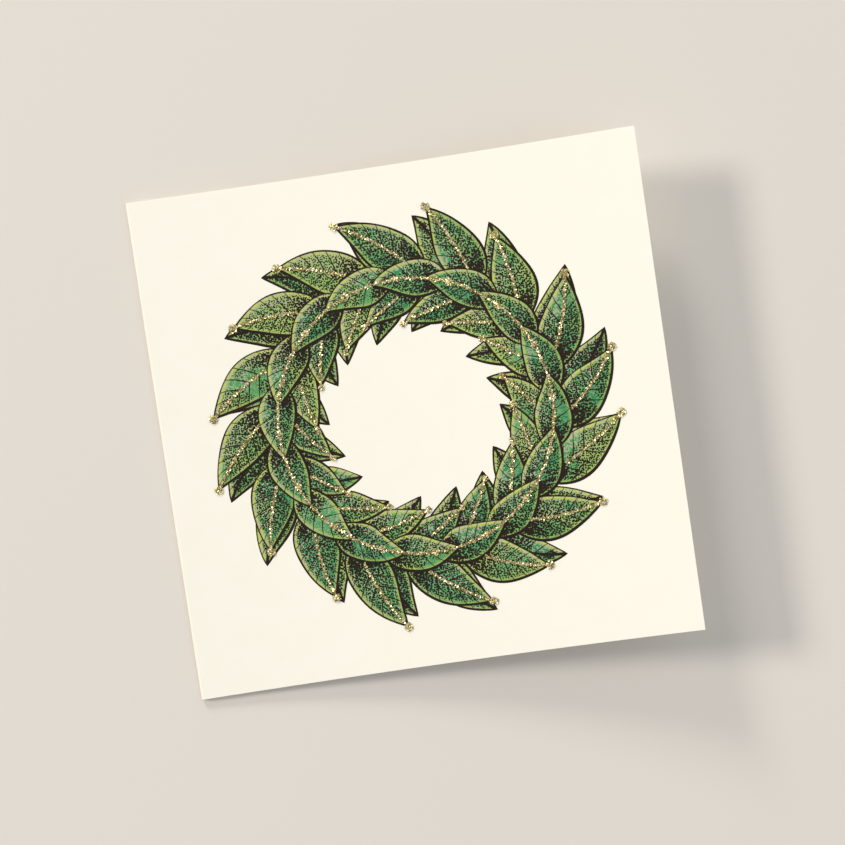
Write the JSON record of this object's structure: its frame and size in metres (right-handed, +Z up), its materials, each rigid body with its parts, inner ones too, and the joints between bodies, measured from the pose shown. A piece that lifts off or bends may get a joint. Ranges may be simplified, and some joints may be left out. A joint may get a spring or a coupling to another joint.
{
  "type": "greeting card",
  "caption": "Nearly square folded greeting card in cream stock, printed with a round leaf wreath and gold glitter; its cover opens on the crease.",
  "frame": {"origin": "on the surface that the card lies on, under the middle of the closed card", "axes": "+X from the fold to the free edges, +Y up the front towards its top edge, +Z up from the back panel to the front panel"},
  "size_m": [0.133, 0.131, 0.016],
  "materials": {
    "card_stock": "uncoated, fine tooth",
    "gold_glitter": "metallised flakes in clear glue"
  },
  "bodies": {
    "back": {"back_panel": "card_stock", "fold": "card_stock"},
    "front": {"front_panel": "card_stock", "gold_glitter": "gold_glitter"}
  },
  "joints": [
    {"name": "cover_hinge", "type": "hinge", "parent": "back", "child": "front", "pos_m": [-0.06588, 0, 0.00063], "axis": [0, -1, 0], "range_deg": [-2, 173], "deforming": ["fold"]}
  ]
}
